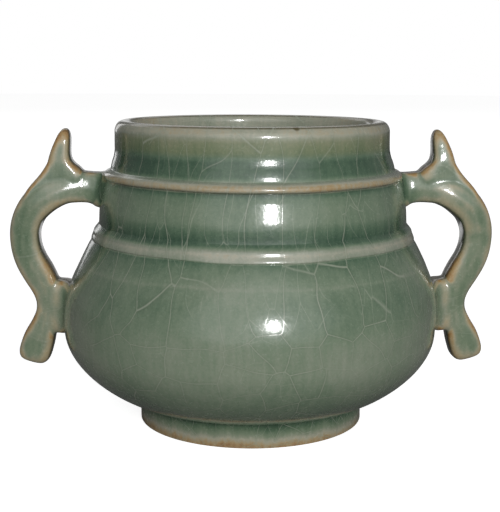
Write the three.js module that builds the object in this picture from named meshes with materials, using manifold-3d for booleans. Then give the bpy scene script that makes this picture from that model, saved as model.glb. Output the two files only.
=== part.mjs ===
// A small celadon censer of gui form: a squat round body on a foot ring, two raised string
// bands round its shoulder, and two loop handles, each with a horn above and a tail below.
// Millimetres, +Z up. The origin is the middle of the foot, on the surface it stands on.
// +X runs through the right-hand handle, and the front of the censer looks along -Y.
import * as THREE from "three";
import { mergeVertices } from "three/addons/utils/BufferGeometryUtils.js";
import Module from "manifold-3d";

// Heights of the body. The sections up to the lower band stand on each other, those from
// the rim down hang from the mouth, and the shoulder takes the height between them.
const OVERALL_HEIGHT = 93;
const FOOT_HEIGHT = 7.4;
const BELLY_RISE = 23.6;
const BELLY_CLOSE = 25.4;
const LOWER_BAND_WIDTH = 4.2;
const UPPER_BAND_WIDTH = 3.9;
const NECK_HEIGHT = 5.9;
const RIM_HEIGHT = 8;
// How far below the lower band the upper body was luted to the bowl
const LUTING_DROP = 6.2;

// Outside radii of the body: the foot, the belly and the shoulder, and how much wider or
// narrower the places beside them are
const FOOT_RADIUS = 34.9;
const FOOT_TOP_FLARE = 1.1;
const BOWL_SEAT_FLARE = 3.1;
const BELLY_RADIUS = 57.84;
const SHOULDER_RADIUS = 47;
const LOWER_BAND_FLARE = 2.66;
const HOLLOW_FLARE = 0.9;
const UPPER_BAND_TAPER = 1.2;
const NECK_FOOT_TAPER = 3.5;
const NECK_TAPER = 5.2;
const RIM_PROUD = 0.15;

// Walls and edges
const WALL = 4.8;
const BASE_THICKNESS = 5;
const FOOT_WIDTH = 4.9;
const FOOT_EDGE = 0.4;
const FOOT_STRAIGHT = 3.7;
const FOOT_INNER_SPREAD = 0.9;
const LOWER_BAND_PROUD = 0.8;
const UPPER_BAND_PROUD = 1.2;
const BAND_BLUNTNESS = 0.8;
const LIP_CREST_IN = 2.65;
const LIP_OUTER_ROUND = 3;
const LIP_INNER_ROUND = 2;

// Fullness of the body's curves: the direction that the bowl leaves its seat in, and the
// lengths of the curve handles
const BOWL_START_ANGLE = THREE.MathUtils.degToRad(32);
const BOWL_START_PULL = 10.1;
const BELLY_LOWER_PULL = 12.7;
const BELLY_UPPER_PULL = 9.35;
const BAND_APPROACH_ANGLE = THREE.MathUtils.degToRad(30.6);
const BAND_APPROACH_PULL = 12.3;
const FLOOR_FULLNESS = 0.83;
const NECK_FULLNESS = 0.5;
// The share of its run that a curve handle takes where the curve is even
const EVEN_PULL = 1 / 3;

// Handles
const SLIP = 0.3;
const BAR_WIDTH = 8.8;
const BAR_DEPTH = 9.6;
const BAR_SQUARENESS = 3.2;
const ARM_DROP = 2.9;
const ARM_EMBED = 4;
const ARM_BEYOND_NECK = 10;
const BOW_REACH = 16.5;
const BOW_DROP = 15.3;
const BOW_TOP_PULL = 9.5;
const BOW_SIDE_PULL = 8.5;
const HEEL_RISE = 6.5;
const HEEL_STANDOFF = 2.4;
const HEEL_WIDTH = 6.2;
const HEEL_DEPTH = 9;
const BOW_THINS_FROM = 0.75;
const TAIL_LENGTH = 19.2;
const TAIL_SPREAD = 5;
const TAIL_WIDTH = 9.4;
const TAIL_CORNER = 2.6;
const TAIL_WIDENS_FROM = 0.1;
const TAIL_WIDENS_TO = 0.8;
const TAIL_LEAN = THREE.MathUtils.degToRad(17);
const HORN_FROM_BOW = 12;
const HORN_LENGTH = 13.7;
const HORN_LEAN = 1.3;
const HORN_SWAY = 1.3;
const HORN_CURL = 1.7;
const HORN_ROOT_WIDTH = 8;
const HORN_TIP_WIDTH = 3;
const HORN_ROOT_DEPTH = 8;
const HORN_TIP_DEPTH = 3;
const HORN_TIP_ROUND = 1.4;
const HORN_EMBED = 1.6;
const HORN_FLARE = 3;
const HORN_FLARE_FADE = 4;
const PAD_ABOVE_JOINT = 5.6;
const PAD_BELOW_JOINT = 10.8;
const PAD_TUCK = 1.55;
const PAD_DEPTH = 7.4;
const PAD_CORNER = 2.4;
const PAD_SQUARENESS = 2;

// Facets
const ROUND_SEGMENTS = 56;
const BELLY_STEPS = 8;
const SMALL_CURVE_STEPS = 4;
const LIP_STEPS = 3;
const BAND_STEPS = 6;
const BAR_SIDES = 16;
const BOW_STEPS = 20;
const TAIL_STEPS = 8;
const HORN_STEPS = 8;
const PAD_STEPS = 6;
const END_STEPS = 3;
// Corners nearer than this are one corner
const WELD = 1e-5;

// Heights above the surface that the foot stands on
const bellyZ = FOOT_HEIGHT + BELLY_RISE;
const lowerBandZ = bellyZ + BELLY_CLOSE;
const lutingZ = lowerBandZ - LUTING_DROP;
const hollowZ = lowerBandZ + LOWER_BAND_WIDTH;
const rimFootZ = OVERALL_HEIGHT - RIM_HEIGHT;
const neckFootZ = rimFootZ - NECK_HEIGHT;
const upperBandZ = neckFootZ - UPPER_BAND_WIDTH;
const shoulderHeight = upperBandZ - hollowZ;

// Radii that follow the foot and the shoulder
const bowlSeatRadius = FOOT_RADIUS + BOWL_SEAT_FLARE;
const lowerBandRadius = SHOULDER_RADIUS + LOWER_BAND_FLARE;
const neckRadius = SHOULDER_RADIUS - NECK_TAPER;

const wasm = await Module();
wasm.setup();

const at = (radius, height) => new THREE.Vector2(radius, height);

// Points of a curve between two places on the profile
function bend(start, startPull, endPull, end, steps) {
  return new THREE.CubicBezierCurve(start, startPull, endPull, end).getPoints(steps);
}

// A profile moved square to itself, towards the axis, by one distance
function movedInwards(points, distance) {
  return points.map((point, i) => {
    const before = points[Math.max(i - 1, 0)];
    const after = points[Math.min(i + 1, points.length - 1)];
    const along = after.clone().sub(before).normalize();
    return at(point.x - along.y * distance, point.y + along.x * distance);
  });
}

// Radius of a rising profile at a height
function radiusAt(points, height) {
  const below = points.findLastIndex((point) => point.y < height);
  const start = THREE.MathUtils.clamp(below, 0, points.length - 2);
  const low = points[start];
  const high = points[start + 1];
  return THREE.MathUtils.mapLinear(height, low.y, high.y, low.x, high.x);
}

// The part of a profile between two heights
function between(points, low, high) {
  const inside = points.filter((point) => point.y > low + SLIP && point.y < high - SLIP);
  return [at(radiusAt(points, low), low), ...inside, at(radiusAt(points, high), high)];
}

// A ring or bowl turned about the upright axis, its points listed up the outside and down
// the inside
function turned(points) {
  const geometry = new THREE.LatheGeometry(points, ROUND_SEGMENTS);
  geometry.rotateX(Math.PI / 2);
  return geometry;
}

function asSolid(geometry) {
  const bare = geometry.clone();
  bare.deleteAttribute("normal");
  bare.deleteAttribute("uv");
  const merged = mergeVertices(bare, WELD);
  const corners = merged.index.array;
  const used = [];
  for (let i = 0; i < corners.length; i += 3) {
    const [a, b, c] = corners.slice(i, i + 3);
    if (a !== b && b !== c && c !== a) {
      used.push(a, b, c);
    }
  }
  return new wasm.Manifold(new wasm.Mesh({
    numProp: 3,
    vertProperties: new Float32Array(merged.attributes.position.array),
    triVerts: new Uint32Array(used),
  }));
}

function asGeometry(solid) {
  const mesh = solid.getMesh();
  const geometry = new THREE.BufferGeometry();
  geometry.setAttribute("position", new THREE.BufferAttribute(mesh.vertProperties, 3));
  geometry.setIndex(new THREE.BufferAttribute(mesh.triVerts, 1));
  geometry.computeVertexNormals();
  return geometry;
}

// The wall's outside, from the bowl's seat on the foot up to the rim
const bowlSeat = at(bowlSeatRadius, FOOT_HEIGHT);
const widest = at(BELLY_RADIUS, bellyZ);
const lowerBandFoot = at(lowerBandRadius, lowerBandZ);
const lowerBandTop = at(SHOULDER_RADIUS + HOLLOW_FLARE, hollowZ);
const upperBandFoot = at(SHOULDER_RADIUS - UPPER_BAND_TAPER, upperBandZ);
const upperBandTop = at(SHOULDER_RADIUS - NECK_FOOT_TAPER, neckFootZ);
const neckTop = at(neckRadius, rimFootZ);

const bowlCurve = bend(
  bowlSeat,
  at(
    bowlSeatRadius + BOWL_START_PULL * Math.cos(BOWL_START_ANGLE),
    FOOT_HEIGHT + BOWL_START_PULL * Math.sin(BOWL_START_ANGLE),
  ),
  at(BELLY_RADIUS, bellyZ - BELLY_LOWER_PULL),
  widest,
  BELLY_STEPS,
);
const bellyCurve = bend(
  widest,
  at(BELLY_RADIUS, bellyZ + BELLY_UPPER_PULL),
  at(
    lowerBandRadius + BAND_APPROACH_PULL * Math.sin(BAND_APPROACH_ANGLE),
    lowerBandZ - BAND_APPROACH_PULL * Math.cos(BAND_APPROACH_ANGLE),
  ),
  lowerBandFoot,
  BELLY_STEPS,
);
const shoulderCurve = bend(
  lowerBandTop,
  at(SHOULDER_RADIUS, hollowZ + shoulderHeight * EVEN_PULL),
  at(SHOULDER_RADIUS, upperBandZ - shoulderHeight * EVEN_PULL),
  upperBandFoot,
  SMALL_CURVE_STEPS,
);
const neckHandle = at(neckRadius, neckFootZ + NECK_HEIGHT * NECK_FULLNESS);
const neckCurve = bend(
  upperBandTop,
  upperBandTop.clone().lerp(neckHandle, NECK_FULLNESS),
  neckHandle,
  neckTop,
  SMALL_CURVE_STEPS,
);

// The wall above the belly, outside and inside
const upperOutside = [...bellyCurve, ...shoulderCurve, ...neckCurve];
const upperInside = movedInwards(upperOutside, WALL);
const innerBellyRadius = BELLY_RADIUS - WALL;
const mouthRadius = radiusAt(upperInside, rimFootZ);

// A ring of clay that the whole vessel stands on, recessed underneath
function footRing() {
  const innerRadius = FOOT_RADIUS - FOOT_WIDTH;
  return turned([
    at(innerRadius + FOOT_INNER_SPREAD, 0),
    at(FOOT_RADIUS - FOOT_EDGE, 0),
    at(FOOT_RADIUS, FOOT_EDGE),
    at(FOOT_RADIUS, FOOT_STRAIGHT),
    at(FOOT_RADIUS + FOOT_TOP_FLARE, FOOT_HEIGHT),
    at(innerRadius, FOOT_HEIGHT),
    at(innerRadius, FOOT_EDGE),
    at(innerRadius + FOOT_INNER_SPREAD, 0),
  ]);
}

// The thrown bowl, from its flat base to the luting line
function lowerBowl() {
  const floorZ = FOOT_HEIGHT + BASE_THICKNESS;
  const floorCurve = bend(
    at(0, floorZ),
    at(innerBellyRadius * FLOOR_FULLNESS, floorZ),
    at(innerBellyRadius, bellyZ - BELLY_LOWER_PULL),
    at(innerBellyRadius, bellyZ),
    BELLY_STEPS,
  );
  const outside = between(bellyCurve, bellyZ, lutingZ);
  const inside = between(upperInside, bellyZ, lutingZ);
  return turned([
    at(0, FOOT_HEIGHT),
    ...bowlCurve.slice(0, -1),
    ...outside,
    ...inside.slice(1).reverse(),
    ...floorCurve.reverse(),
  ]);
}

// The upper body: the closing belly, the shoulder and the neck, up to the rim
function upperBody() {
  const outside = between(upperOutside, lutingZ, rimFootZ);
  const inside = between(upperInside, lutingZ, rimFootZ);
  return turned([...outside, ...inside.reverse(), outside[0]]);
}

// A raised string band, a fillet of clay laid round a conical seat on the wall
function stringBand(foot, top, proud) {
  const outside = [];
  for (let i = 1; i < BAND_STEPS; i += 1) {
    const way = i / BAND_STEPS;
    const point = foot.clone().lerp(top, way);
    point.x += proud * Math.sin(Math.PI * way) ** BAND_BLUNTNESS;
    outside.push(point);
  }
  return turned([foot, ...outside, top, foot]);
}

// A quarter of an ellipse on the lip, from one angle to the next
function lipRound(centre, width, height, startAngle) {
  const curve = new THREE.EllipseCurve(
    centre.x, centre.y, width, height, startAngle, startAngle + Math.PI / 2,
  );
  return curve.getPoints(LIP_STEPS);
}

// The thickened rim round the mouth
function rimBand() {
  const outerRadius = neckRadius + RIM_PROUD;
  const crestRadius = outerRadius - LIP_CREST_IN;
  return turned([
    at(mouthRadius, rimFootZ),
    at(outerRadius, rimFootZ),
    ...lipRound(
      at(crestRadius, OVERALL_HEIGHT - LIP_OUTER_ROUND),
      LIP_CREST_IN,
      LIP_OUTER_ROUND,
      0,
    ),
    ...lipRound(
      at(crestRadius, OVERALL_HEIGHT - LIP_INNER_ROUND),
      crestRadius - mouthRadius,
      LIP_INNER_ROUND,
      Math.PI / 2,
    ).slice(1),
    at(mouthRadius, rimFootZ),
  ]);
}

// The space that the wall and its bands fill, with room for slip, which handles are cut by
function wallSpace() {
  const bands = [
    [lowerBandFoot, lowerBandTop, LOWER_BAND_PROUD],
    [upperBandFoot, upperBandTop, UPPER_BAND_PROUD],
  ];
  const wall = [...bowlCurve, ...bellyCurve.slice(1), ...shoulderCurve, ...neckCurve];
  const profile = wall.map((point) => at(point.x + SLIP, point.y));
  let space = asSolid(turned([at(0, FOOT_HEIGHT), ...profile, at(0, rimFootZ)]));
  for (const [foot, top, proud] of bands) {
    space = space.add(asSolid(stringBand(foot, top, proud + SLIP)));
  }
  return space;
}

// A bar of clay along a curve in the X-Z plane. Its half width lies in that plane and its
// half depth along Y, each a function of the way along. Its far end has rounded corners.
function clayBar({
  path,
  halfWidth,
  halfDepth,
  steps,
  corner,
  grow = 0,
  squareness = BAR_SQUARENESS,
}) {
  const rows = [];
  const cornerShare = corner / path.getLength();
  for (let i = 0; i <= steps; i += 1) {
    rows.push({ way: (i / steps) * (1 - cornerShare), inset: 0 });
  }
  for (let i = 1; i <= END_STEPS && corner > 0; i += 1) {
    const angle = (Math.PI / 2) * (i / END_STEPS);
    rows.push({
      way: 1 - cornerShare * (1 - Math.sin(angle)),
      inset: corner * (1 - Math.cos(angle)),
    });
  }
  const last = rows.length - 1;
  const geometry = new THREE.CylinderGeometry(1, 1, last, BAR_SIDES, last);
  const position = geometry.attributes.position;
  for (let i = 0; i < position.count; i += 1) {
    const row = rows[Math.round(position.getY(i) + last / 2)];
    const centre = path.getPointAt(row.way);
    const along = path.getTangentAt(row.way);
    const cosine = position.getX(i);
    const sine = position.getZ(i);
    const power = Math.abs(cosine) ** squareness + Math.abs(sine) ** squareness;
    const spread = power > 0 ? power ** (-1 / squareness) : 0;
    const across = (halfWidth(row.way) - row.inset + grow) * spread * cosine;
    const deep = (halfDepth(row.way) - row.inset + grow) * spread * sine;
    position.setXYZ(i, centre.x + along.z * across, -deep, centre.z - along.x * across);
  }
  return geometry;
}

// Places on the right-hand handle, in the X-Z plane
const inPlane = (x, z) => new THREE.Vector3(x, 0, z);
const armZ = upperBandZ - ARM_DROP;
const armTopZ = armZ + BAR_WIDTH / 2;
const bowX = BELLY_RADIUS + BOW_REACH - BAR_WIDTH / 2;
const bowZ = armZ - BOW_DROP;
const heelX = BELLY_RADIUS + HEEL_STANDOFF + HEEL_WIDTH / 2;
const heelZ = bellyZ + HEEL_RISE;
const hornX = bowX - HORN_FROM_BOW;

const bar = (share) => THREE.MathUtils.lerp(BAR_WIDTH, HEEL_WIDTH, share) / 2;
const barDepth = (share) => THREE.MathUtils.lerp(BAR_DEPTH, HEEL_DEPTH, share) / 2;

// The bow: an arm out of the shoulder, bent round and down to the heel
function bow(grow) {
  const armEnd = inPlane(SHOULDER_RADIUS + ARM_BEYOND_NECK - SLIP, armZ);
  const side = inPlane(bowX, bowZ);
  const heel = inPlane(heelX, heelZ);
  const path = new THREE.CurvePath();
  path.add(new THREE.LineCurve3(inPlane(SHOULDER_RADIUS - ARM_EMBED, armZ), armEnd));
  path.add(new THREE.CubicBezierCurve3(
    armEnd,
    inPlane(armEnd.x + BOW_TOP_PULL, armZ),
    inPlane(bowX, bowZ + BOW_SIDE_PULL),
    side,
  ));
  path.add(new THREE.CubicBezierCurve3(
    side,
    inPlane(bowX, bowZ - BOW_SIDE_PULL),
    inPlane(heelX, heelZ + BOW_SIDE_PULL),
    heel,
  ));
  const thinning = (way) => THREE.MathUtils.smoothstep(way, BOW_THINS_FROM, 1);
  return asSolid(clayBar({
    path,
    halfWidth: (way) => bar(thinning(way)),
    halfDepth: (way) => barDepth(thinning(way)),
    steps: BOW_STEPS,
    corner: 0,
    grow,
  }));
}

// The tail: a blunt spur that swings out and down from the heel
function tail(grow) {
  const start = inPlane(heelX, heelZ - SLIP);
  const end = inPlane(heelX + TAIL_SPREAD, heelZ - SLIP - TAIL_LENGTH);
  const pull = TAIL_LENGTH * EVEN_PULL;
  const path = new THREE.CubicBezierCurve3(
    start,
    inPlane(start.x, start.z - pull),
    inPlane(end.x - pull * Math.sin(TAIL_LEAN), end.z + pull * Math.cos(TAIL_LEAN)),
    end,
  );
  const widening = (way) => THREE.MathUtils.smoothstep(way, TAIL_WIDENS_FROM, TAIL_WIDENS_TO);
  return asSolid(clayBar({
    path,
    halfWidth: (way) => THREE.MathUtils.lerp(HEEL_WIDTH, TAIL_WIDTH, widening(way)) / 2,
    halfDepth: (way) => barDepth(1 - widening(way)),
    steps: TAIL_STEPS,
    corner: TAIL_CORNER,
    grow,
  }));
}

// The horn: a pointed spur pulled up from the arm where it starts to bend
function horn() {
  const start = inPlane(hornX, armTopZ - HORN_EMBED);
  const end = inPlane(hornX - HORN_LEAN, armTopZ + HORN_LENGTH);
  const pull = (end.z - start.z) * EVEN_PULL;
  const path = new THREE.CubicBezierCurve3(
    start,
    inPlane(start.x + HORN_SWAY, start.z + pull),
    inPlane(end.x + HORN_CURL, end.z - pull),
    end,
  );
  const root = (way) => HORN_FLARE * (1 - way) ** HORN_FLARE_FADE;
  return asSolid(clayBar({
    path,
    halfWidth: (way) => THREE.MathUtils.lerp(HORN_ROOT_WIDTH, HORN_TIP_WIDTH, way) / 2 + root(way),
    halfDepth: (way) => THREE.MathUtils.lerp(HORN_ROOT_DEPTH, HORN_TIP_DEPTH, way) / 2,
    steps: HORN_STEPS,
    corner: HORN_TIP_ROUND,
  }));
}

// The heel pad: the lump of clay between the handle and the belly
function heelPad() {
  const x = BELLY_RADIUS;
  const path = new THREE.LineCurve3(
    inPlane(x, heelZ + PAD_ABOVE_JOINT),
    inPlane(x, heelZ - PAD_BELOW_JOINT),
  );
  return asSolid(clayBar({
    path,
    halfWidth: () => HEEL_STANDOFF + PAD_TUCK,
    halfDepth: () => PAD_DEPTH / 2,
    steps: PAD_STEPS,
    corner: PAD_CORNER,
    squareness: PAD_SQUARENESS,
  }));
}

const glaze = { color: 0x6f8468, roughness: 0.18, metalness: 0 };
const paleGlaze = { color: 0x8a937c, roughness: 0.2, metalness: 0 };
const footGlaze = { color: 0x7c8263, roughness: 0.35, metalness: 0 };

function piece(name, geometry, finish) {
  const mesh = new THREE.Mesh(geometry, new THREE.MeshStandardMaterial(finish));
  mesh.name = name;
  return mesh;
}

const censer = new THREE.Group();
censer.add(
  piece("foot_ring", footRing(), footGlaze),
  piece("lower_bowl", lowerBowl(), glaze),
  piece("upper_body", upperBody(), glaze),
  piece("lower_string_band", stringBand(lowerBandFoot, lowerBandTop, LOWER_BAND_PROUD), paleGlaze),
  piece("upper_string_band", stringBand(upperBandFoot, upperBandTop, UPPER_BAND_PROUD), paleGlaze),
  piece("rim_band", rimBand(), paleGlaze),
);

const wall = wallSpace();
const handlePieces = {
  handle_bow: bow(0).subtract(wall),
  handle_horn: horn().subtract(bow(SLIP)),
  handle_tail: tail(0),
  heel_pad: heelPad().subtract(wall).subtract(bow(SLIP)).subtract(tail(SLIP)),
};
for (const [side, turn] of [["right", 0], ["left", Math.PI]]) {
  const handle = new THREE.Group();
  handle.rotation.z = turn;
  for (const [name, solid] of Object.entries(handlePieces)) {
    handle.add(piece(`${side}_${name}`, asGeometry(solid), glaze));
  }
  censer.add(handle);
}

export default censer;
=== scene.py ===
# The looks of a small celadon censer of gui form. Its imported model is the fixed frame, and the
# pieces made here stand for its nodes: the turned body, its two string bands and rim, and the
# two handles. Shapes are worked out in millimetres and finished in metres.
import math

import bmesh
import bpy
import numpy as np
from mathutils import Matrix, Vector, geometry


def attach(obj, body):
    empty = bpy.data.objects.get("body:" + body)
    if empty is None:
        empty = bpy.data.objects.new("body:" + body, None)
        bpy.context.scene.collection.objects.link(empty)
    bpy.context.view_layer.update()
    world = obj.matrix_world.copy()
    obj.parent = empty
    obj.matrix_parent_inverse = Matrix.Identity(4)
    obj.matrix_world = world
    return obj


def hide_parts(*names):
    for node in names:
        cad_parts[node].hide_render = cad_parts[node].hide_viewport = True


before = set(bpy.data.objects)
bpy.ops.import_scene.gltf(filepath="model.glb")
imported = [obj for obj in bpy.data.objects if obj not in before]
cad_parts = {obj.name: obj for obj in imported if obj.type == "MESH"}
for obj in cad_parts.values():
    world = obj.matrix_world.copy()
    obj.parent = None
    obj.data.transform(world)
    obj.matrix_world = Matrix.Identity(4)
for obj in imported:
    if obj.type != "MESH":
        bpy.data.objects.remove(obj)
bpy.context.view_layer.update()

MM = 0.001

# The body's outside, from the foot up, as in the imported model
FOOT_RADIUS = 34.7
FOOT_STRAIGHT = 3.7
FOOT_WIDTH = 4.9
SEAT_RADIUS = 35.5
SEAT_Z = 7.7
BELLY_RADIUS = 57.84
BELLY_Z = 32.5
LUTING_Z = 50.2
LOWER_BAND_RADIUS = 49.66
LOWER_BAND_Z = 56.4
HOLLOW_RADIUS = 47.36
HOLLOW_Z = 61.9
UPPER_BAND_RADIUS = 45.1
UPPER_BAND_Z = 75.2
NECK_FOOT_RADIUS = 43.52
NECK_FOOT_Z = 78.15
NECK_RADIUS = 42.0
RIM_FOOT_Z = 85.0
RIM_RADIUS = 41.95
LIP_FOOT_Z = 89.8
LIP_CREST_RADIUS = 39.3
MOUTH_RADIUS = 37.0
HEIGHT = 93.0

# The wall, the bowl's floor and the base under it
WALL = 4.8
FLOOR_Z = 12.4
BASE_Z = 7.4

# The foot's outer edge is a small round, and its inner edge a bevel
FOOT_EDGE = 0.35
FOOT_EDGE_PULL = 0.1
BEVEL_WIDTH = 0.9
BEVEL_HEIGHT = 0.8

# A string band is a little thicker than its bed in the wall is deep, so that the two bond
BAND_THICKNESS = 0.9
BED_DEPTH = 0.7

# A place inside the bowl: the faces of the wall that look towards it are the inside
HEART = Vector((0, 0, 55))

# How far the pot strays sideways at each height, because its halves were luted a little askew
ASKEW = [
    (0.0, -0.1), (12.0, -0.25), (30.0, -0.5), (50.0, 0.3), (75.0, 0.3), (86.0, 0.0), (93.0, 0.0),
]
# How far the string bands climb at each height as they run towards the sides, and how far from
# the middle the climb starts and is full
WANDER = [
    (0.0, 0.0), (48.0, 0.0), (55.0, 0.7), (58.0, 0.55), (61.5, 0.2), (68.0, 0.1),
    (73.0, 0.35), (78.0, 0.35), (84.0, 0.0),
]
WANDER_START = 12.0
WANDER_FULL = 26.0

TURN_STEPS = 224
WELD = 1e-4
SHARP_ANGLE = math.radians(38)

# The handles, in the upright plane through the axis: places along the clay, as distance from
# the axis, height, width and depth. The bow runs on into the tail as one bar.
BOW = [
    (41.8, 72.0, 9.4, 25.0),
    (43.2, 72.0, 10.0, 22.0),
    (44.8, 72.0, 10.8, 17.6),
    (46.2, 72.0, 11.2, 12.4),
    (47.5, 72.3, 10.4, 9.6),
    (49.2, 72.6, 9.8, 9.0),
    (51.2, 72.8, 9.7, 9.4),
    (53.6, 72.8, 9.7, 10.1),
    (57.4, 72.3, 9.5, 11.5),
    (61.5, 70.7, 9.9, 12.6),
    (65.0, 68.3, 10.1, 12.7),
    (67.9, 64.8, 9.5, 11.9),
    (69.5, 60.6, 9.2, 11.0),
    (69.8, 56.8, 9.1, 10.2),
    (69.25, 52.9, 9.2, 10.1),
    (67.95, 49.3, 9.4, 10.0),
    (65.95, 45.7, 9.5, 9.8),
    (63.9, 41.6, 8.9, 9.5),
    (63.0, 37.4, 7.8, 9.3),
    (63.35, 33.4, 7.3, 9.3),
    (64.6, 29.4, 8.1, 9.4),
    (66.1, 25.4, 9.6, 9.5),
    (67.4, 21.4, 10.0, 9.5),
    (67.95, 19.4, 9.4, 8.9),
    (68.25, 18.1, 7.6, 7.4),
    (68.4, 17.5, 5.0, 5.0),
]
# The horn has the same places and widths on both sides, and its depths are given for each
HORN = [
    (58.2, 71.0, 12.0),
    (58.0, 74.0, 13.6),
    (57.9, 75.9, 14.2),
    (58.1, 77.5, 11.9),
    (58.4, 79.2, 9.2),
    (58.55, 81.0, 7.3),
    (58.4, 83.0, 6.2),
    (57.95, 85.2, 5.3),
    (57.4, 87.4, 4.4),
    (57.0, 89.1, 3.4),
    (56.8, 90.2, 2.2),
    (56.75, 90.75, 1.0),
]
# The left horn stays deep almost to its point, and the right one thins as it rises
HORN_DEPTHS = {
    "right": (10.0, 10.1, 10.1, 10.0, 9.95, 9.8, 9.2, 8.2, 7.1, 5.6, 3.3, 1.4),
    "left": (9.8, 9.9, 9.9, 9.8, 9.7, 9.6, 9.4, 9.1, 8.6, 7.0, 4.4, 1.8),
}
# Clay laid along the outer side of the horn's root, where it rises from the bow
FLANK = [
    (68.0, 68.6, 4.0, 10.6),
    (67.4, 70.1, 4.2, 10.6),
    (66.1, 71.8, 4.4, 10.4),
    (64.6, 73.5, 4.4, 10.2),
    (63.0, 75.5, 4.2, 9.9),
    (61.7, 77.6, 3.9, 9.6),
    (60.8, 79.6, 3.4, 9.2),
    (60.3, 81.2, 2.6, 8.8),
]
HEEL_PAD = [
    (53.6, 35.0, 12.0, 28.0),
    (55.2, 35.0, 14.0, 23.0),
    (56.6, 35.1, 15.6, 17.6),
    (57.8, 35.2, 16.8, 13.2),
    (59.0, 35.3, 17.0, 10.9),
    (60.4, 35.4, 17.2, 9.9),
    (62.5, 35.5, 18.0, 9.4),
]
# How far out and how high each handle goes, as shares of the shape above, drawn out from one
# place in the wall. The right one came out a little longer and lower than the left.
STRETCH = {"right": (1.022, 0.986), "left": (1.0, 0.992)}
STRETCH_FROM = Vector((48, 0, 58))
FACING = {"right": 0, "left": math.pi}

BAR_SIDES = 48
BAR_SQUARENESS = 4.2
RUN_STEPS = 4
# How much thinner the bow is along its outer side than through its middle
BOW_TAPER = 0.17
# How finely the bars are worked into one, and how often the clay is sponged over
CLAY_GRAIN = 0.32
SPONGING = 7
# How many more spongings make the rounder form that the arrises stand proud of
ARRIS_REACH = 40
# How much of the painted side shade the handles' outer faces get against their inner ones
OUTER_SIDE_SHADE = 0.6


# Shaping

def bend(start, start_pull, end_pull, end, steps):
    """Places on a curve between two places on a profile."""
    ends = [Vector((x, z, 0)) for x, z in (start, start_pull, end_pull, end)]
    run = geometry.interpolate_bezier(*ends, steps + 1)
    return [(p.x, p.y) for p in run]


def course(start, *legs):
    """A profile drawn in curved legs. Each leg has two pulls, its end and a number of steps."""
    places = []
    for start_pull, end_pull, end, steps in legs:
        leg = bend(start, start_pull, end_pull, end, steps)
        places += leg[1:] if places else leg
        start = end
    return places


def inwards(profile, distance):
    """A profile moved square to itself, towards the axis."""
    moved = []
    for i, (radius, z) in enumerate(profile):
        before, after = profile[max(i - 1, 0)], profile[min(i + 1, len(profile) - 1)]
        along = Vector(after) - Vector(before)
        along.normalize()
        moved.append((radius - along.y * distance, z + along.x * distance))
    return moved


def split(profile, z):
    """A rising profile cut in two at a height."""
    low = [p for p in profile if p[1] < z]
    high = [p for p in profile if p[1] > z]
    (r0, z0), (r1, z1) = low[-1], high[0]
    cut = (r0 + (r1 - r0) * (z - z0) / (z1 - z0), z)
    return low + [cut], [cut] + high


def finished(name, bm):
    """The mesh of a piece, shaded smooth except at its crisp turns, in metres."""
    bmesh.ops.scale(bm, vec=(MM, MM, MM), verts=bm.verts)
    mesh = bpy.data.meshes.new(name)
    bm.to_mesh(mesh)
    bm.free()
    mesh.shade_smooth()
    mesh.set_sharp_from_angle(angle=SHARP_ANGLE)
    piece = bpy.data.objects.new(name, mesh)
    bpy.context.scene.collection.objects.link(piece)
    return piece


# The body

foot_edge = bend(
    (FOOT_RADIUS - FOOT_EDGE, 0), (FOOT_RADIUS - FOOT_EDGE_PULL, 0),
    (FOOT_RADIUS, FOOT_EDGE_PULL), (FOOT_RADIUS, FOOT_EDGE), 4,
)
foot_waist = bend((FOOT_RADIUS, FOOT_STRAIGHT), (34.5, 5.6), (34.7, 6.9), (SEAT_RADIUS, SEAT_Z), 10)
underside = course(
    (SEAT_RADIUS, SEAT_Z),
    ((40.7, 7.75), (57.2, 17.3), (57.62, 29.0), 44),
    ((57.7, 30.4), (BELLY_RADIUS, 31.2), (BELLY_RADIUS, BELLY_Z), 4),
)
belly = course(
    (BELLY_RADIUS, BELLY_Z),
    ((BELLY_RADIUS, 40.6), (55.92, 45.81), (LOWER_BAND_RADIUS, LOWER_BAND_Z), 46),
)
lower_ridge = course(
    (LOWER_BAND_RADIUS, LOWER_BAND_Z),
    ((49.35, 56.65), (49.75, 56.55), (49.72, 57.0), 6),
    ((49.64, 57.4), (49.5, 57.8), (49.36, 58.1), 4),
    ((49.2, 58.45), (49.08, 58.8), (49.0, 59.3), 6),
    ((48.87, 59.9), (48.5, 60.3), (47.85, 61.15), 6),
    ((47.5, 61.6), (47.42, 61.7), (HOLLOW_RADIUS, HOLLOW_Z), 4),
)
shoulder = course(
    (HOLLOW_RADIUS, HOLLOW_Z),
    ((47.27, 62.8), (47.25, 63.6), (47.2, 64.8), 10),
    ((47.17, 65.9), (47.03, 67.12), (46.85, 68.0), 10),
    ((46.55, 69.47), (46.25, 70.93), (45.95, 72.4), 8),
    ((45.87, 72.75), (45.5, 73.95), (UPPER_BAND_RADIUS, UPPER_BAND_Z), 10),
)
upper_ridge = course(
    (UPPER_BAND_RADIUS, UPPER_BAND_Z),
    ((45.5, 75.2), (45.75, 75.35), (45.75, 75.95), 6),
    ((45.75, 76.7), (45.4, 77.1), (44.85, 77.5), 8),
    ((44.25, 77.75), (43.7, 77.95), (NECK_FOOT_RADIUS, NECK_FOOT_Z), 6),
)
neck = course(
    (NECK_FOOT_RADIUS, NECK_FOOT_Z),
    ((43.4, 78.5), (43.4, 78.7), (43.28, 79.3), 6),
    ((43.12, 80.0), (42.95, 80.6), (42.75, 81.2), 6),
    ((42.45, 81.9), (42.3, 82.6), (42.18, 83.3), 8),
    ((42.06, 83.9), (NECK_RADIUS, 84.5), (NECK_RADIUS, RIM_FOOT_Z), 8),
)
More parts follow.
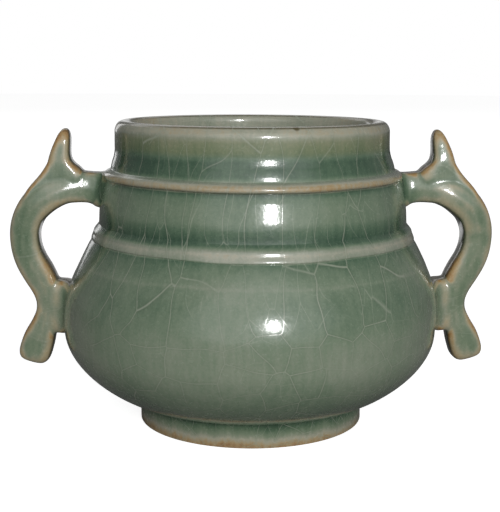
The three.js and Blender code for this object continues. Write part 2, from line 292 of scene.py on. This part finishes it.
rim = course(
    (NECK_RADIUS, RIM_FOOT_Z),
    ((NECK_RADIUS, 86.5), (RIM_RADIUS, 88.0), (RIM_RADIUS, LIP_FOOT_Z), 6),
    ((RIM_RADIUS, 91.4), (40.9, HEIGHT), (LIP_CREST_RADIUS, HEIGHT), 14),
    ((38.0, HEIGHT), (MOUTH_RADIUS, 92.4), (MOUTH_RADIUS, 90.6), 12),
)


def set_askew(bm):
    """The strays of the thrown pot. Each place keeps a note of the height it was thrown at."""
    thrown = bm.verts.layers.float.new("thrown_height")
    for vert in bm.verts:
        vert[thrown] = vert.co.z / HEIGHT
        aside = np.interp(abs(vert.co.x), (WANDER_START, WANDER_FULL), (0, 1))
        stray, climb = (np.interp(vert.co.z, *zip(*strays)) for strays in (ASKEW, WANDER))
        vert.co.x += stray
        vert.co.z += climb * aside


def turned(name, outline):
    """A piece thrown on the wheel: an outline of radius and height, spun about the axis."""
    bm = bmesh.new()
    ring = [bm.verts.new((radius, 0, z)) for radius, z in outline]
    pairs = list(zip(ring, ring[1:]))
    starts_on_axis = outline[0][0] == 0
    if not starts_on_axis:
        pairs.append((ring[-1], ring[0]))
    edges = [bm.edges.new(pair) for pair in pairs]
    bmesh.ops.spin(
        bm, geom=ring + edges, cent=(0, 0, 0), axis=(0, 0, 1), angle=math.tau,
        steps=TURN_STEPS, use_merge=True,
    )
    bmesh.ops.remove_doubles(bm, verts=bm.verts, dist=WELD)
    bmesh.ops.recalc_face_normals(bm, faces=bm.faces)
    for face in bm.faces:
        face.material_index = int(face.normal.dot(HEART - face.calc_center_median()) > 0)
    set_askew(bm)
    return finished(name, bm)


def make_body():
    """The six turned pieces, each with its own share of the wall."""
    foot_inside = FOOT_RADIUS - FOOT_WIDTH
    belly_inside = BELLY_RADIUS - WALL
    belly_low, belly_high = split(belly, LUTING_Z)
    inner_low, inner_high = split(inwards(belly + shoulder[1:] + neck[1:], WALL), LUTING_Z)
    inner_floor = bend((0, FLOOR_Z), (44.0, FLOOR_Z), (belly_inside, 18.4), (belly_inside, BELLY_Z), 46)
    outlines = {
        "foot_ring": (
            [(foot_inside + BEVEL_WIDTH, 0)] + foot_edge + foot_waist
            + [(foot_inside, SEAT_Z), (foot_inside, BEVEL_HEIGHT)]
        ),
        "lower_bowl": (
            [(0, BASE_Z), (foot_inside, BASE_Z)] + underside + belly_low[1:]
            + inner_low[::-1] + inner_floor[::-1][1:]
        ),
        "upper_body": (
            belly_high + inwards(lower_ridge, BED_DEPTH) + shoulder
            + [(UPPER_BAND_RADIUS - BED_DEPTH, UPPER_BAND_Z)] + inwards(upper_ridge, BED_DEPTH)[1:]
            + neck + inner_high[::-1]
        ),
        "lower_string_band": lower_ridge + inwards(lower_ridge, BAND_THICKNESS)[::-1],
        "upper_string_band": upper_ridge + inwards(upper_ridge, BAND_THICKNESS)[::-1],
        "rim_band": [(MOUTH_RADIUS, RIM_FOOT_Z)] + rim,
    }
    return {name: turned(name + "_glazed", outline) for name, outline in outlines.items()}


# The handles

def through(stations):
    """A smooth run of places through a handle's stations."""
    known = [Vector(station) for station in stations]
    padded = [known[0], *known, known[-1]]
    run = []
    # The run goes from b to c, and leaves each of them along the line between its neighbours
    for a, b, c, d in zip(padded, padded[1:], padded[2:], padded[3:]):
        for i in range(RUN_STEPS):
            t = i / RUN_STEPS
            pull = (c - a) * t + (2 * a - 5 * b + 4 * c - d) * t**2 + (3 * b - a - 3 * c + d) * t**3
            run.append(b + pull / 2)
    return run + [known[-1]]


def roll_bar(bm, stations, taper=0.0):
    """A bar of clay with flattened sides, drawn through its stations and closed at both ends."""
    run = through(stations)
    ring = bmesh.ops.create_circle(bm, segments=BAR_SIDES, radius=1)["verts"]
    for vert in ring:
        power = sum(abs(c) ** BAR_SQUARENESS for c in vert.co.xy)
        vert.co *= power ** (-1 / BAR_SQUARENESS)
        vert.co.y *= 1 + taper * min(vert.co.x, 0)
    edges = list({edge for vert in ring for edge in vert.link_edges})
    bmesh.ops.contextual_create(bm, geom=edges)
    placed = Matrix.Identity(4)
    # Each ring lies square to the run, with its width in the upright plane and its depth across
    for i, here in enumerate(run):
        before, after = run[max(i - 1, 0)], run[min(i + 1, len(run) - 1)]
        along = (after - before).xy.normalized()
        place = Matrix((
            (along.y * here.z / 2, 0, along.x, here.x),
            (0, -here.w / 2, 0, 0),
            (-along.x * here.z / 2, 0, along.y, here.y),
            (0, 0, 0, 1),
        ))
        if i > 0:
            grown = bmesh.ops.extrude_edge_only(bm, edges=edges)["geom"]
            ring = [g for g in grown if isinstance(g, bmesh.types.BMVert)]
            edges = [g for g in grown if isinstance(g, bmesh.types.BMEdge)]
        bmesh.ops.transform(bm, matrix=place @ placed.inverted(), verts=ring)
        placed = place
    bmesh.ops.contextual_create(bm, geom=edges)


def work_together(bm):
    """The bars of a handle worked into one lump of clay, without seams."""
    rough = bpy.data.meshes.new("rough_handle")
    bm.to_mesh(rough)
    lump = bpy.data.objects.new("rough_handle", rough)
    bpy.context.scene.collection.objects.link(lump)
    remesh = lump.modifiers.new("worked_together", "REMESH")
    remesh.mode = "VOXEL"
    remesh.voxel_size = CLAY_GRAIN
    bpy.context.view_layer.update()
    worked = lump.evaluated_get(bpy.context.evaluated_depsgraph_get())
    bm.clear()
    bm.from_mesh(worked.to_mesh())
    worked.to_mesh_clear()
    bpy.data.objects.remove(lump)


def soften(bm, passes):
    """The clay sponged over, so that every corner rounds a little."""
    for _ in range(passes):
        bmesh.ops.smooth_vert(
            bm, verts=bm.verts, factor=0.5, use_axis_x=True, use_axis_y=True, use_axis_z=True,
        )


def note_arrises(bm):
    """Notes for the glaze: how proud each place stands, how much painted shade its sideways facing gets,
    and how far it faces up."""
    proud = bm.verts.layers.float.new("proud")
    sideways = bm.verts.layers.float.new("sideways")
    upward = bm.verts.layers.float.new("upward")
    soft = bm.copy()
    soften(soft, ARRIS_REACH)
    bm.normal_update()
    for vert, rounded in zip(bm.verts, soft.verts):
        vert[proud] = (vert.co - rounded.co).dot(vert.normal)
        # The share of painted shade for a face that looks sideways, less on the outer faces
        vert[sideways] = (1 - abs(vert.normal.y)) * (1 if vert.normal.x < 0 else OUTER_SIDE_SHADE)
        vert[upward] = vert.normal.z
    soft.free()


def make_handle(side):
    """A handle as the potter joined it: bow, tail, horn and heel pad worked into one."""
    bm = bmesh.new()
    horn = [(*station, depth) for station, depth in zip(HORN, HORN_DEPTHS[side])]
    roll_bar(bm, BOW, BOW_TAPER)
    for stations in (horn, FLANK, HEEL_PAD):
        roll_bar(bm, stations)
    bmesh.ops.recalc_face_normals(bm, faces=bm.faces)
    work_together(bm)
    soften(bm, SPONGING)
    note_arrises(bm)
    long, high = STRETCH[side]
    from_wall = Matrix.Translation(-STRETCH_FROM)
    bmesh.ops.scale(bm, vec=(long, 1, high), space=from_wall, verts=bm.verts)
    facing = Matrix.Rotation(FACING[side], 3, "Z")
    bmesh.ops.rotate(bm, cent=(0, 0, 0), matrix=facing, verts=bm.verts)
    return finished(side + "_handle_glazed", bm)


pieces = make_body()
for side in FACING:
    pieces[side + "_handle"] = make_handle(side)


# The glazes

# Celadon by its depth, from bare clay through a thin skin on the arrises to a deep pool
GLAZE_BY_DEPTH = [
    (0.0, (0.37, 0.23, 0.115)),
    (0.08, (0.47, 0.35, 0.19)),
    (0.17, (0.47, 0.43, 0.31)),
    (0.25, (0.455, 0.455, 0.36)),
    (0.38, (0.34, 0.375, 0.29)),
    (0.6, (0.215, 0.285, 0.195)),
    (0.8, (0.115, 0.19, 0.12)),
    (1.0, (0.05, 0.105, 0.065)),
]
# The depth of glaze on the body at each height: thin on the bands, pooled in the hollows, with painted
# shade just under each band's lip and painted light and shade on the belly
DEPTH_BY_HEIGHT = [
    # Painted light and shade: up to 49 mm the stops are set paler from 20 to 34 mm and darker round 45
    # mm, to even out how the light falls on the belly
    (12.0, 0.72),
    (20.0, 0.58),
    (27.0, 0.5),
    (34.0, 0.52),
    (40.0, 0.61),
    (45.0, 0.66),
    (49.6, 0.61),
    (50.2, 0.51),
    (50.8, 0.58),
    (55.0, 0.72),
    # Painted shade under the lower band's lip
    (56.5, 0.82),
    (56.8, 0.42),
    (58.9, 0.26),
    (60.0, 0.46),
    (60.5, 0.68),
    (61.0, 0.86),
    (62.2, 0.95),
    (63.7, 0.88),
    (65.3, 0.77),
    (67.0, 0.64),
    (71.0, 0.63),
    (73.5, 0.72),
    # Painted shade under the upper band's lip
    (74.9, 0.93),
    (75.3, 0.3),
    (76.0, 0.12),
    (77.0, 0.16),
    (77.7, 0.34),
    (78.5, 0.72),
    (79.4, 0.9),
    (83.2, 0.95),
    (85.0, 0.7),
    (88.8, 0.54),
]
# The glaze thins once more towards the lip
LIP_THINS_FROM = 88.6
LIP_THIN_BY = 91.0
LIP_THINNING = 0.3
# Where the rim's glaze turns olive, and two dark lines: under the upper band, thin brown glaze darkened
# further as painted shade under its lip, and round the lip, a painted dark reflection
RIM_WARMTH = [(0.0, 0.0), (84.4, 0.0), (86.0, 0.65), (88.6, 0.6), (90.3, 0.07), (93.0, 0.0)]
DARK_LINES = [
    (0.0, 0.0), (74.4, 0.0), (75.2, 0.6), (75.6, 0.6), (76.0, 0.0),
    (92.4, 0.0), (92.56, 1.0), (92.88, 1.0), (92.98, 0.0),
]
# A small nick on the front of the lip, which shows dark
NICK = Vector((10.3, -39.2, 92.4))
NICK_SIZE = 1.1

# The depth inside, by shares of the height. It is thin near the top, partly as real thinning towards the
# lip and partly as a painted halo of the highlight inside the mouth.
INNER_DEPTH = [(0.0, 0.5), (0.12, 0.74), (0.2, 0.62), (0.6, 0.5), (0.93, 0.32), (1.0, 0.25)]

# The depth on the foot, from its bare edge up to the seat of the bowl
FOOT_DEPTH = [
    (0.0, 0.07), (0.12, 0.09), (0.2, 0.16), (0.32, 0.27),
    (0.5, 0.58), (0.72, 0.8), (0.86, 0.93), (1.0, 1.0),
]
FOOT_TOP = 8.0
FOOT_WARMTH = 0.16

# The depth on the handles, from their hollows to their arrises, and how proud those stand
DEPTH_BY_ARRIS = [
    (0.0, 0.74), (0.18, 0.72), (0.28, 0.68), (0.37, 0.58),
    (0.45, 0.38), (0.55, 0.25), (0.75, 0.19), (1.0, 0.17),
]
HOLLOW_RISE = -0.1
ARRIS_RISE = 0.32
# Glaze runs off the faces of a handle that look up, and turns warmer as it grows thin. The faces that
# look sideways are darkened with painted shade.
RUN_OFF = 0.27
RUN_OFF_FACING = (0.1, 0.6)
WARMING_DEPTHS = (0.5, 0.2)
WARMTHS = (0.2, 0.8)
SIDE_SHADE_FACING = (0.3, 0.75)
# Where the glaze on the heels is thin or burnt through to brown: x, y and z, reach and thinning.
# A spot is drawn out in height, because heights count for less in its reach.
BARED_SPOTS = [
    (61.0, -4.7, 37.0, 11.0, 0.12),
    (60.2, -4.7, 38.4, 2.4, 0.28),
    (60.9, -4.7, 29.6, 2.6, 0.3),
    (60.6, -4.7, 44.5, 2.4, 0.16),
]
SPOT_HEIGHT = 0.45
THINNEST_GLAZE = 0.09
# Glaze pools round the root of a handle. The heel's root stands further out than the arm's.
POOL_FROM = 48.2
POOL_FULL = 45.5
POOL_DEPTH = 0.45
HEEL_TOP = 48.0
HEEL_FURTHER_OUT = 10.3

# Patterns that vary a glaze: how fine each is, how it is drawn out, and its spread either way
CLOUDS = {"scale": 45, "detail": 3.0, "spread": 0.07}
RUNS = {"scale": 650, "stretch": (1, 0.12), "spread": 0.035, "reach": 0.15}
GRAIN = {"scale": 1300, "roughness": 0.6, "spread": 0.04}
WAVY_EDGES = {"scale": 40, "stretch": (1, 0.3), "spread": 0.0035}
BARED_PATCHES = {"scale": 110, "spread": 0.04}
RAGGED_EDGE = {"scale": 220, "stretch": (1, 0), "spread": 0.5 * MM}

# Tints that a share of warmth, or of iron stain, painted shade and painted dark reflection, lays over the
# colour
OLIVE = (1.06, 0.9, 0.68, 1)
IRON_AND_SHADE = (0.27, 0.24, 0.15, 1)

# The crackle, strong and fine: how many cells to a metre, and a line's width as a share of a cell.
# It is laid out flat, as on a drum of this radius.
CRACKS = ((104, 0.017), (185, 0.019))
CRACKLE_RADIUS = 52.0
# Above this height the lines are drawn out upright, and below it they close into a net
NET_TOP = 40.0
RISE_ABOVE = 0.3
RISE_BELOW = 1.15
SWAY = {"scale": 30}
LINE_SWAY = 12.0
# Each size of crackle shows in patches. Outside them the strong lines fade, and the fine ones end.
STRONG_PATCHES = {"scale": 45, "detail": 1.0}
STRONG_PATCH_EDGE = (0.35, 0.6)
STRONG_LEAST = 0.45
FINE_PATCHES = {"scale": 60, "detail": 1.0}
FINE_PATCH_EDGE = (0.45, 0.6)
FINE_MOST = 0.6
# A line is pale, and a fainter darkening along it is painted shadow of the crack
LINE_COLOUR = (0.44, 0.48, 0.38, 1)
LINE_STRENGTH = 0.8
CRACK_SHADOW_COLOUR = (0.45, 0.5, 0.45, 1)
CRACK_SHADOW_STRENGTH = 0.3
CRACK_SHADOW_WIDTH = 4
HANDLE_CRACKLE = 0.4

# The skin of the glaze: its gloss, and its relief, a fine peel, slow waves and the crackle
GLOSS_PATCHES = {"scale": 900}
GLOSS_PATCH_EDGE = (0.3, 0.7)
ROUGHNESS = (0.16, 0.3)
REFRACTION = 1.5
COAT = 0.7
COAT_ROUGHNESS = 0.06
PEEL = {"scale": 1500, "roughness": 0.55}
PEEL_HEIGHT = 0.02
WAVES = {"scale": 130, "detail": 1.0, "stretch": (0.6, 1)}
WAVE_HEIGHT = 0.11
CRACK_DEPTH = 0.008


class Recipe:
    """A glaze being mixed: its nodes, added one by one and joined as they come."""

    def __init__(self, name):
        self.material = bpy.data.materials.new(name)
        self.material.use_nodes = True
        self.nodes = self.material.node_tree.nodes
        self.links = self.material.node_tree.links
        self.shader = self.nodes["Principled BSDF"]
        self.place = self.add("ShaderNodeTexCoord").outputs["Object"]

    def feed(self, socket, value):
        """Gives a socket its value, which is another node's output or a plain one."""
        if isinstance(value, bpy.types.NodeSocket):
            self.links.new(value, socket)
        else:
            socket.default_value = value

    def feed_named(self, node, values):
        """Gives values to the inputs of a node by their names."""
        for name, value in values.items():
            self.feed(node.inputs[name], value)

    def add(self, kind, *inputs, **settings):
        """A new node, with its settings made and its inputs fed in their order."""
        node = self.nodes.new(kind)
        for key, value in settings.items():
            setattr(node, key, value)
        for socket, value in zip(node.inputs, inputs):
            self.feed(socket, value)
        return node

    def math(self, operation, *inputs):
        """A sum on one value or more."""
        return self.add("ShaderNodeMath", *inputs, operation=operation).outputs[0]

    def parts(self, vector):
        """The X, Y and Z of a vector."""
        return self.add("ShaderNodeSeparateXYZ", vector).outputs

    def distance(self, where, spot):
        """How far each place is from a spot."""
        return self.add("ShaderNodeVectorMath", where, spot, operation="DISTANCE").outputs["Value"]

    def noted(self, name):
        """A note that the shaping left on the mesh."""
        return self.add("ShaderNodeAttribute", attribute_name=name).outputs["Fac"]

    def span(self, value, low, high, out_low=0.0, out_high=1.0):
        """A value carried from one span to another, and held at its ends."""
        return self.add("ShaderNodeMapRange", value, low, high, out_low, out_high).outputs[0]

    def ramp(self, value, stops):
        """A colour, or a plain share, read from its stops."""
        node = self.add("ShaderNodeValToRGB", value)
        elements = node.color_ramp.elements
        for position, _ in stops[1:-1]:
            elements.new(position)
        for element, (position, colour) in zip(elements, stops):
            element.position = position
            element.color = (*colour, 1) if isinstance(colour, tuple) else (colour, colour, colour, 1)
        return node.outputs["Color"]

    def mix(self, factor, one, other, blend="MIX"):
        """One colour and another, mixed or multiplied by a share."""
        node = self.add("ShaderNodeMix", data_type="RGBA", blend_type=blend)
        self.feed_named(node, {"Factor": factor, "A": one, "B": other})
        return node.outputs["Result"]

    def noise(self, scale, detail=2.0, roughness=0.5, stretch=None, output="Fac"):
        """A cloudy pattern. Its stretch scales it sideways and upright."""
        where = self.place
        if stretch:
            sideways, upright = stretch
            drawn = self.add("ShaderNodeVectorMath", where, (sideways, sideways, upright))
            drawn.operation = "MULTIPLY"
            where = drawn.outputs["Vector"]
        node = self.add("ShaderNodeTexNoise")
        self.feed_named(node, {"Vector": where, "Scale": scale, "Detail": detail, "Roughness": roughness})
        return node.outputs[output]

    def mottle(self, spread, reach=0.2, **pattern):
        """A cloudy variation, up to its spread either way."""
        return self.span(self.noise(**pattern), 0.5 - reach, 0.5 + reach, -spread, spread)


def by_height(stops):
    """Stops at heights in millimetres, as shares of the censer's height."""
    return [(z / HEIGHT, value) for z, value in stops]


def craze(glaze, strength=1.0):
    """The crackle: long upright lines on the neck and shoulder, and a looser net on the belly."""
    sway = glaze.parts(glaze.noise(**SWAY, output="Color"))
    parts = glaze.parts(glaze.place)
    turn = glaze.math("ARCTAN2", parts["Y"], parts["X"])
    girth = glaze.math("MULTIPLY", turn, CRACKLE_RADIUS * MM)
    over_net = glaze.math("SUBTRACT", parts["Z"], NET_TOP * MM)
    above = glaze.math("MULTIPLY", glaze.math("MAXIMUM", over_net, 0.0), RISE_ABOVE)
    below = glaze.math("MULTIPLY", glaze.math("MINIMUM", over_net, 0.0), RISE_BELOW)
    rise = glaze.math("ADD", above, below)
    across = glaze.math("MULTIPLY_ADD", sway["X"], LINE_SWAY * MM, girth)
    upwards = glaze.math("MULTIPLY_ADD", sway["Y"], LINE_SWAY * MM, rise)
    grid = glaze.add("ShaderNodeCombineXYZ", across, upwards).outputs["Vector"]
    lines, shades = [], []
    for scale, width in CRACKS:
        cells = glaze.add("ShaderNodeTexVoronoi", feature="DISTANCE_TO_EDGE", voronoi_dimensions="2D")
        glaze.feed_named(cells, {"Vector": grid, "Scale": scale})
        lines.append(glaze.span(cells.outputs["Distance"], 0.0, width, 1.0, 0.0))
        shades.append(glaze.span(cells.outputs["Distance"], 0.0, width * CRACK_SHADOW_WIDTH, 1.0, 0.0))
    least, most = STRONG_LEAST * strength, FINE_MOST * strength
    strong = glaze.span(glaze.noise(**STRONG_PATCHES), *STRONG_PATCH_EDGE, least, strength)
    fine = glaze.span(glaze.noise(**FINE_PATCHES), *FINE_PATCH_EDGE, 0.0, most)
    strong_lines = glaze.math("MULTIPLY", lines[0], strong)
    fine_lines = glaze.math("MULTIPLY", lines[1], fine)
    # Painted shadow along the strong lines
    shade = glaze.math("MULTIPLY", shades[0], strong)
    return glaze.math("MAXIMUM", strong_lines, fine_lines), shade


def dress(glaze, depth, crackle, warmth=0.0, stain_and_shade=0.0):
    """Colour, gloss and skin of a celadon glaze of the given depth."""
    clouded = glaze.math("ADD", depth, glaze.mottle(**CLOUDS))
    streaks = glaze.math("ADD", glaze.mottle(**RUNS), glaze.mottle(**GRAIN))
    colour = glaze.ramp(glaze.math("ADD", clouded, streaks), GLAZE_BY_DEPTH)
    colour = glaze.mix(warmth, colour, OLIVE, "MULTIPLY")
    # Iron stain together with painted shade and painted dark reflection
    colour = glaze.mix(stain_and_shade, colour, IRON_AND_SHADE, "MULTIPLY")
    line, shade = crackle
    # Painted shadow along the crackle
    colour = glaze.mix(glaze.math("MULTIPLY", shade, CRACK_SHADOW_STRENGTH), colour, CRACK_SHADOW_COLOUR, "MULTIPLY")
    colour = glaze.mix(glaze.math("MULTIPLY", line, LINE_STRENGTH), colour, LINE_COLOUR)
    peel = glaze.math("MULTIPLY", glaze.noise(**PEEL), PEEL_HEIGHT * MM)
    waves = glaze.math("MULTIPLY", glaze.noise(**WAVES), WAVE_HEIGHT * MM)
    cracks = glaze.math("MULTIPLY", line, CRACK_DEPTH * MM)
    skin = glaze.math("SUBTRACT", glaze.math("ADD", peel, waves), cracks)
    bump = glaze.add("ShaderNodeBump")
    glaze.feed_named(bump, {"Height": skin, "Distance": 1.0, "Strength": 1.0})
    glaze.feed_named(glaze.shader, {
        "Base Color": colour,
        "Roughness": glaze.span(glaze.noise(**GLOSS_PATCHES), *GLOSS_PATCH_EDGE, *ROUGHNESS),
        "IOR": REFRACTION,
        "Coat Weight": COAT,
        "Coat Roughness": COAT_ROUGHNESS,
        "Normal": bump.outputs["Normal"],
        "Coat Normal": bump.outputs["Normal"],
    })
    return glaze.material


def body_celadon():
    """The body's glaze, thin on its bands and lip and pooled in the hollows."""
    glaze = Recipe("body_celadon")
    height = glaze.noted("thrown_height")
    wavy = glaze.math("ADD", height, glaze.mottle(**WAVY_EDGES))
    thinned = glaze.span(height, LIP_THINS_FROM / HEIGHT, LIP_THIN_BY / HEIGHT, 0.0, LIP_THINNING)
    depth = glaze.math("SUBTRACT", glaze.ramp(wavy, by_height(DEPTH_BY_HEIGHT)), thinned)
    warmth = glaze.ramp(wavy, by_height(RIM_WARMTH))
    from_nick = glaze.distance(glaze.place, NICK * MM)
    nicked = glaze.span(from_nick, NICK_SIZE * MM / 2, NICK_SIZE * MM, 1.0, 0.0)
    # Dark lines of painted shade and painted dark reflection, and the nick
    stain_and_shade = glaze.math("ADD", glaze.ramp(height, by_height(DARK_LINES)), nicked)
    return dress(glaze, depth, craze(glaze), warmth, stain_and_shade)


def inner_celadon():
    """The glaze inside, pooled over the floor."""
    glaze = Recipe("inner_celadon")
    height = glaze.math("MULTIPLY", glaze.parts(glaze.place)["Z"], 1 / (HEIGHT * MM))
    return dress(glaze, glaze.ramp(height, INNER_DEPTH), craze(glaze))


def handle_celadon():
    """The handles' glaze, drawn thin on their arrises and pooled where they meet the wall."""
    glaze = Recipe("handle_celadon")
    parts = glaze.parts(glaze.place)
    outwards = glaze.math("ABSOLUTE", parts["X"])
    bared = glaze.math("ADD", glaze.noted("proud"), glaze.mottle(**BARED_PATCHES))
    depth = glaze.ramp(glaze.span(bared, HOLLOW_RISE, ARRIS_RISE), DEPTH_BY_ARRIS)
    lowered = glaze.math("MULTIPLY", parts["Z"], SPOT_HEIGHT)
    folded = glaze.add("ShaderNodeCombineXYZ", outwards, parts["Y"], lowered).outputs["Vector"]
    for x, y, z, reach, thinning in BARED_SPOTS:
        near = glaze.distance(folded, Vector((x, y, z * SPOT_HEIGHT)) * MM)
        depth = glaze.math("SUBTRACT", depth, glaze.span(near, reach * MM / 4, reach * MM, thinning, 0.0))
    run_off = glaze.span(glaze.noted("upward"), *RUN_OFF_FACING, 0.0, RUN_OFF)
    depth = glaze.math("MAXIMUM", glaze.math("SUBTRACT", depth, run_off), THINNEST_GLAZE)
    warmth = glaze.span(depth, *WARMING_DEPTHS, *WARMTHS)
    by_heel = glaze.math("LESS_THAN", parts["Z"], HEEL_TOP * MM)
    from_root = glaze.math("MULTIPLY_ADD", by_heel, -HEEL_FURTHER_OUT * MM, outwards)
    pooled = glaze.span(from_root, POOL_FROM * MM, POOL_FULL * MM, 0.0, POOL_DEPTH)
    # Painted shade on the faces that look sideways
    stain_and_shade = glaze.span(glaze.noted("sideways"), *SIDE_SHADE_FACING)
    return dress(glaze, glaze.math("ADD", depth, pooled), craze(glaze, HANDLE_CRACKLE), warmth, stain_and_shade)


def foot_celadon():
    """The foot's glaze, which runs down in streaks and stops short of the bare clay edge."""
    glaze = Recipe("foot_celadon")
    level = glaze.math("ADD", glaze.parts(glaze.place)["Z"], glaze.mottle(**RAGGED_EDGE))
    depth = glaze.ramp(glaze.span(level, 0.0, FOOT_TOP * MM), FOOT_DEPTH)
    return dress(glaze, depth, craze(glaze), FOOT_WARMTH)


GLAZES = {
    "body": body_celadon(),
    "inner": inner_celadon(),
    "handle": handle_celadon(),
    "foot": foot_celadon(),
}

NODES = {
    "right_handle": ["right_handle_bow", "right_handle_horn", "right_handle_tail", "right_heel_pad"],
    "left_handle": ["left_handle_bow", "left_handle_horn", "left_handle_tail", "left_heel_pad"],
}
# The wall has one glaze outside and another inside, and the handles and the foot have one each
for name, piece in pieces.items():
    outer = "handle" if "handle" in name else "foot" if "foot" in name else "body"
    inner = "inner" if outer == "body" else outer
    piece.data.materials.append(GLAZES[outer])
    piece.data.materials.append(GLAZES[inner])
    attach(piece, "root")
    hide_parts(*NODES.get(name, [name]))


# The studio

CAMERA_DISTANCE = 352.0
CAMERA_HEIGHT = 109.8
CAMERA_TURN = math.radians(2.5)
CAMERA_ROLL = math.radians(0.25)
CAMERA_LENS = 80.4
CAMERA_SENSOR = 36.0
CAMERA_NEAR = 10.0
CAMERA_FAR = 50000.0
AIM = Vector((-0.5, 0, 50.8))

# What the glaze sees round it: a dim room, and a white sheet with a soft edge straight behind
ROOM_BRIGHTNESS = 0.13
SHEET_BRIGHTNESS = 0.75
SHEET_EDGE = (0.97, 0.99)
WHITE = (1, 1, 1, 1)
FLOOR_RADIUS = 4000.0
FLOOR_SIDES = 96
# The floor as the camera sees it, and as the glaze does
FLOOR_WHITE = (0.85, 0.85, 0.85, 1)
FLOOR_GLOW = 0.86
FLOOR_GREY = (0.3, 0.3, 0.29, 1)

# Soft panels of light: azimuth to the right of the front and elevation, in degrees, distance,
# width and height, in metres, and brightness. The fill is three panels behind one another, so
# that its reflection has a soft edge.
PANELS = [
    ("key", 10.8, 15, 1.2, 0.17, 0.24, 48),
    ("fill", 4, 20, 1.5, 2.1, 1.5, 0.27),
    ("fill", 4, 20, 1.6, 2.8, 1.8, 0.27),
    ("fill", 4, 20, 1.7, 3.6, 2.1, 0.27),
    ("back_light", 190, 38, 2.0, 2.0, 1.0, 0.7),
    ("left_strip", 204, 6, 2.0, 0.28, 1.1, 1.2),
]
# The place in the censer that every panel faces
LIT_PLACE = Vector((0, 0, 60))


def place_camera():
    """The camera, a little to the left of the front and above the rim."""
    camera = bpy.data.objects.new("camera", bpy.data.cameras.new("camera"))
    bpy.context.scene.collection.objects.link(camera)
    camera.data.lens = CAMERA_LENS
    camera.data.sensor_width = CAMERA_SENSOR
    camera.data.clip_start = CAMERA_NEAR * MM
    camera.data.clip_end = CAMERA_FAR * MM
    place = Vector((
        -CAMERA_DISTANCE * math.sin(CAMERA_TURN),
        -CAMERA_DISTANCE * math.cos(CAMERA_TURN),
        CAMERA_HEIGHT,
    ))
    camera.location = place * MM
    look = (AIM - place).to_track_quat("-Z", "Y").to_matrix() @ Matrix.Rotation(CAMERA_ROLL, 3, "Z")
    camera.rotation_euler = look.to_euler()
    bpy.context.scene.camera = camera


def lamp_power(brightness, width, height):
    """The power that makes a soft panel as bright as asked."""
    return brightness * math.pi * width * height * math.pi / 4


def hang_panel(name, azimuth, elevation, distance, width, height, brightness):
    """A soft oval panel of light that faces the censer."""
    light = bpy.data.lights.new(name, "AREA")
    light.shape = "ELLIPSE"
    light.size = width
    light.size_y = height
    light.energy = lamp_power(brightness, width, height)
    panel = bpy.data.objects.new(name, light)
    bpy.context.scene.collection.objects.link(panel)
    a, e = math.radians(azimuth), math.radians(elevation)
    way = Vector((math.sin(a) * math.cos(e), -math.cos(a) * math.cos(e), math.sin(e)))
    panel.location = way * distance + LIT_PLACE * MM
    panel.rotation_euler = way.to_track_quat("Z", "Y").to_euler()


def lay_floor():
    """A wide pale floor. Only the camera sees it bright, so that little light comes up from it."""
    bm = bmesh.new()
    bmesh.ops.create_circle(bm, cap_ends=True, segments=FLOOR_SIDES, radius=FLOOR_RADIUS * MM)
    mesh = bpy.data.meshes.new("floor")
    bm.to_mesh(mesh)
    bm.free()
    floor = bpy.data.objects.new("floor", mesh)
    bpy.context.scene.collection.objects.link(floor)
    paint = Recipe("pale_floor")
    white = paint.add("ShaderNodeBsdfDiffuse", FLOOR_WHITE).outputs[0]
    glow = paint.add("ShaderNodeEmission", WHITE, FLOOR_GLOW).outputs[0]
    seen = paint.add("ShaderNodeAddShader", white, glow).outputs[0]
    grey = paint.add("ShaderNodeBsdfDiffuse", FLOOR_GREY).outputs[0]
    sheet = paint.add("ShaderNodeEmission", WHITE, SHEET_BRIGHTNESS).outputs[0]
    way = paint.add("ShaderNodeVectorMath", paint.place, operation="NORMALIZE").outputs["Vector"]
    behind = paint.span(paint.parts(way)["Y"], *SHEET_EDGE)
    swept = paint.add("ShaderNodeMixShader", behind, grey, sheet).outputs[0]
    by_camera = paint.add("ShaderNodeLightPath").outputs["Is Camera Ray"]
    both = paint.add("ShaderNodeMixShader", by_camera, swept, seen).outputs[0]
    paint.feed(paint.nodes["Material Output"].inputs["Surface"], both)
    mesh.materials.append(paint.material)


def hang_backdrop():
    """White all round for the camera. The glaze sees a white sheet behind it and a dim room."""
    world = bpy.data.worlds.new("studio")
    world.use_nodes = True
    nodes, links = world.node_tree.nodes, world.node_tree.links
    way = nodes.new("ShaderNodeTexCoord").outputs["Generated"]
    parts = nodes.new("ShaderNodeSeparateXYZ")
    links.new(way, parts.inputs[0])
    behind = nodes.new("ShaderNodeMapRange")
    links.new(parts.outputs["Y"], behind.inputs["Value"])
    behind.inputs["From Min"].default_value, behind.inputs["From Max"].default_value = SHEET_EDGE
    behind.inputs["To Min"].default_value = ROOM_BRIGHTNESS
    behind.inputs["To Max"].default_value = SHEET_BRIGHTNESS
    room = nodes["Background"]
    links.new(behind.outputs[0], room.inputs["Color"])
    white = nodes.new("ShaderNodeBackground")
    white.inputs["Color"].default_value = WHITE
    path = nodes.new("ShaderNodeLightPath")
    both = nodes.new("ShaderNodeMixShader")
    links.new(path.outputs["Is Camera Ray"], both.inputs[0])
    links.new(room.outputs[0], both.inputs[1])
    links.new(white.outputs[0], both.inputs[2])
    links.new(both.outputs[0], nodes["World Output"].inputs["Surface"])
    bpy.context.scene.world = world


place_camera()
lay_floor()
hang_backdrop()
for panel in PANELS:
    hang_panel(*panel)
bpy.context.scene.view_settings.view_transform = "Standard"
